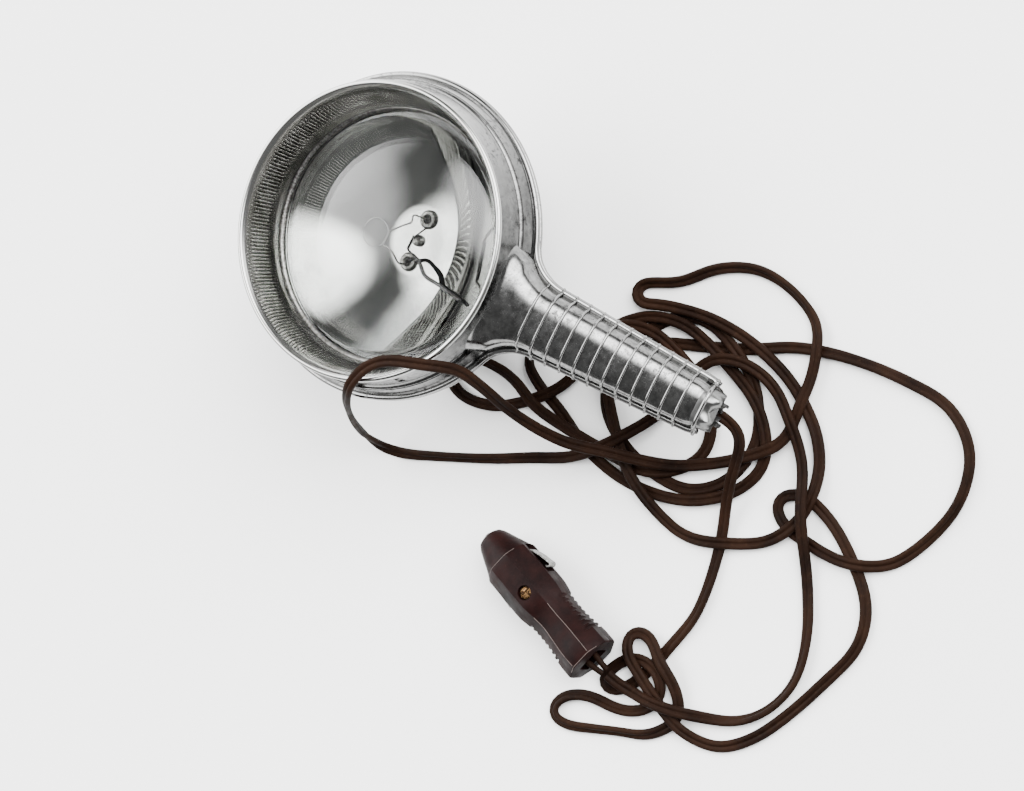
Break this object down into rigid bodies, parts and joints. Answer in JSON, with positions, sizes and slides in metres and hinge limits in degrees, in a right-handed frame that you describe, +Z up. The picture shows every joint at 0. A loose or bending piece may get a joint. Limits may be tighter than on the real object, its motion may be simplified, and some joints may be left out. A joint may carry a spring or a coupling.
{
  "type": "hand-held spotlight",
  "caption": "Chromed hand-held 12 volt spotlight with ribbed handle, sealed lamp, fluted bezel, slide switch, twin flex and lighter plug.",
  "frame": {"origin": "centre of the light's bounding box in plan, without its lead and plug, at the level of the surface it rests on", "axes": "+Z up, along the lamp axis towards the lens; the handle points along -Y; +X to the right seen from the handle"},
  "size_m": [0.1958, 0.2871, 0.0788],
  "materials": {
    "chrome_plate": "old chrome plating, scratched and mottled",
    "lamp_glass": "clear moulded lens",
    "reflector_mirror": "silvered inside of the sealed lamp",
    "black_rubber": "matt",
    "brown_flex": "brown twin flex, satin",
    "bakelite": "dark brown moulded resin, worn satin",
    "black_plastic": "satin",
    "brass": "dull brass",
    "plated_steel": "dull plated steel"
  },
  "bodies": {
    "light": {"back_shell": "chrome_plate", "bezel_ring": "chrome_plate", "bezel_screw": "plated_steel", "cord_clamp": "plated_steel", "feed_wire": "brown_flex", "filament": "plated_steel", "front_shell": "chrome_plate", "lamp_clip_1": "plated_steel", "lamp_clip_2": "plated_steel", "lamp_clip_3": "plated_steel", "lamp_ferrule_1": "plated_steel", "lamp_ferrule_2": "plated_steel", "lamp_gasket": "black_rubber", "lamp_lens": "lamp_glass", "lamp_reflector": "reflector_mirror", "lamp_ring": "plated_steel", "lamp_terminal_1": "brass", "lamp_terminal_2": "brass", "lamp_wire": "black_rubber", "lead_wire_1": "plated_steel", "lead_wire_2": "plated_steel", "plug_core_1": "brown_flex", "plug_core_2": "brown_flex", "plug_lower_half": "bakelite", "plug_nut": "brass", "plug_screw": "brass", "plug_upper_half": "bakelite", "power_cord": "brown_flex", "return_wire": "brown_flex", "shell_screw_1": "plated_steel", "shell_screw_2": "plated_steel", "shield_stay": "plated_steel", "switch_body": "black_plastic", "switch_tag_1": "brass", "switch_tag_2": "brass", "terminal_screw_1": "brass", "terminal_screw_2": "brass"},
    "slider": {"switch_slider": "black_plastic"},
    "centre_pin": {"center_contact": "plated_steel", "contact_spring": "plated_steel"},
    "right_leaf": {"side_contact_right": "plated_steel"},
    "left_leaf": {"side_contact_left": "plated_steel"}
  },
  "joints": [
    {"name": "switch_slide", "type": "slide", "parent": "light", "child": "slider", "axis": [0, -0.9613, -0.2756], "range_m": [0, 0.005]},
    {"name": "centre_pin_slide", "type": "slide", "parent": "light", "child": "centre_pin", "axis": [-0.2974, -0.9548, 0], "range_m": [0, 0.0009], "stiffness_N_per_m": 200, "springref_m": -0.002},
    {"name": "right_leaf_bend", "type": "hinge", "parent": "light", "child": "right_leaf", "pos_m": [-0.08497, -0.04526, 0.0102], "axis": [0, 0, 1], "range_deg": [-8, 0], "stiffness_Nm_per_rad": 0.002, "springref_deg": 5.73},
    {"name": "left_leaf_bend", "type": "hinge", "parent": "light", "child": "left_leaf", "pos_m": [-0.09891, -0.04091, 0.0102], "axis": [0, 0, 1], "range_deg": [0, 3], "stiffness_Nm_per_rad": 0.002, "springref_deg": -5.73}
  ]
}
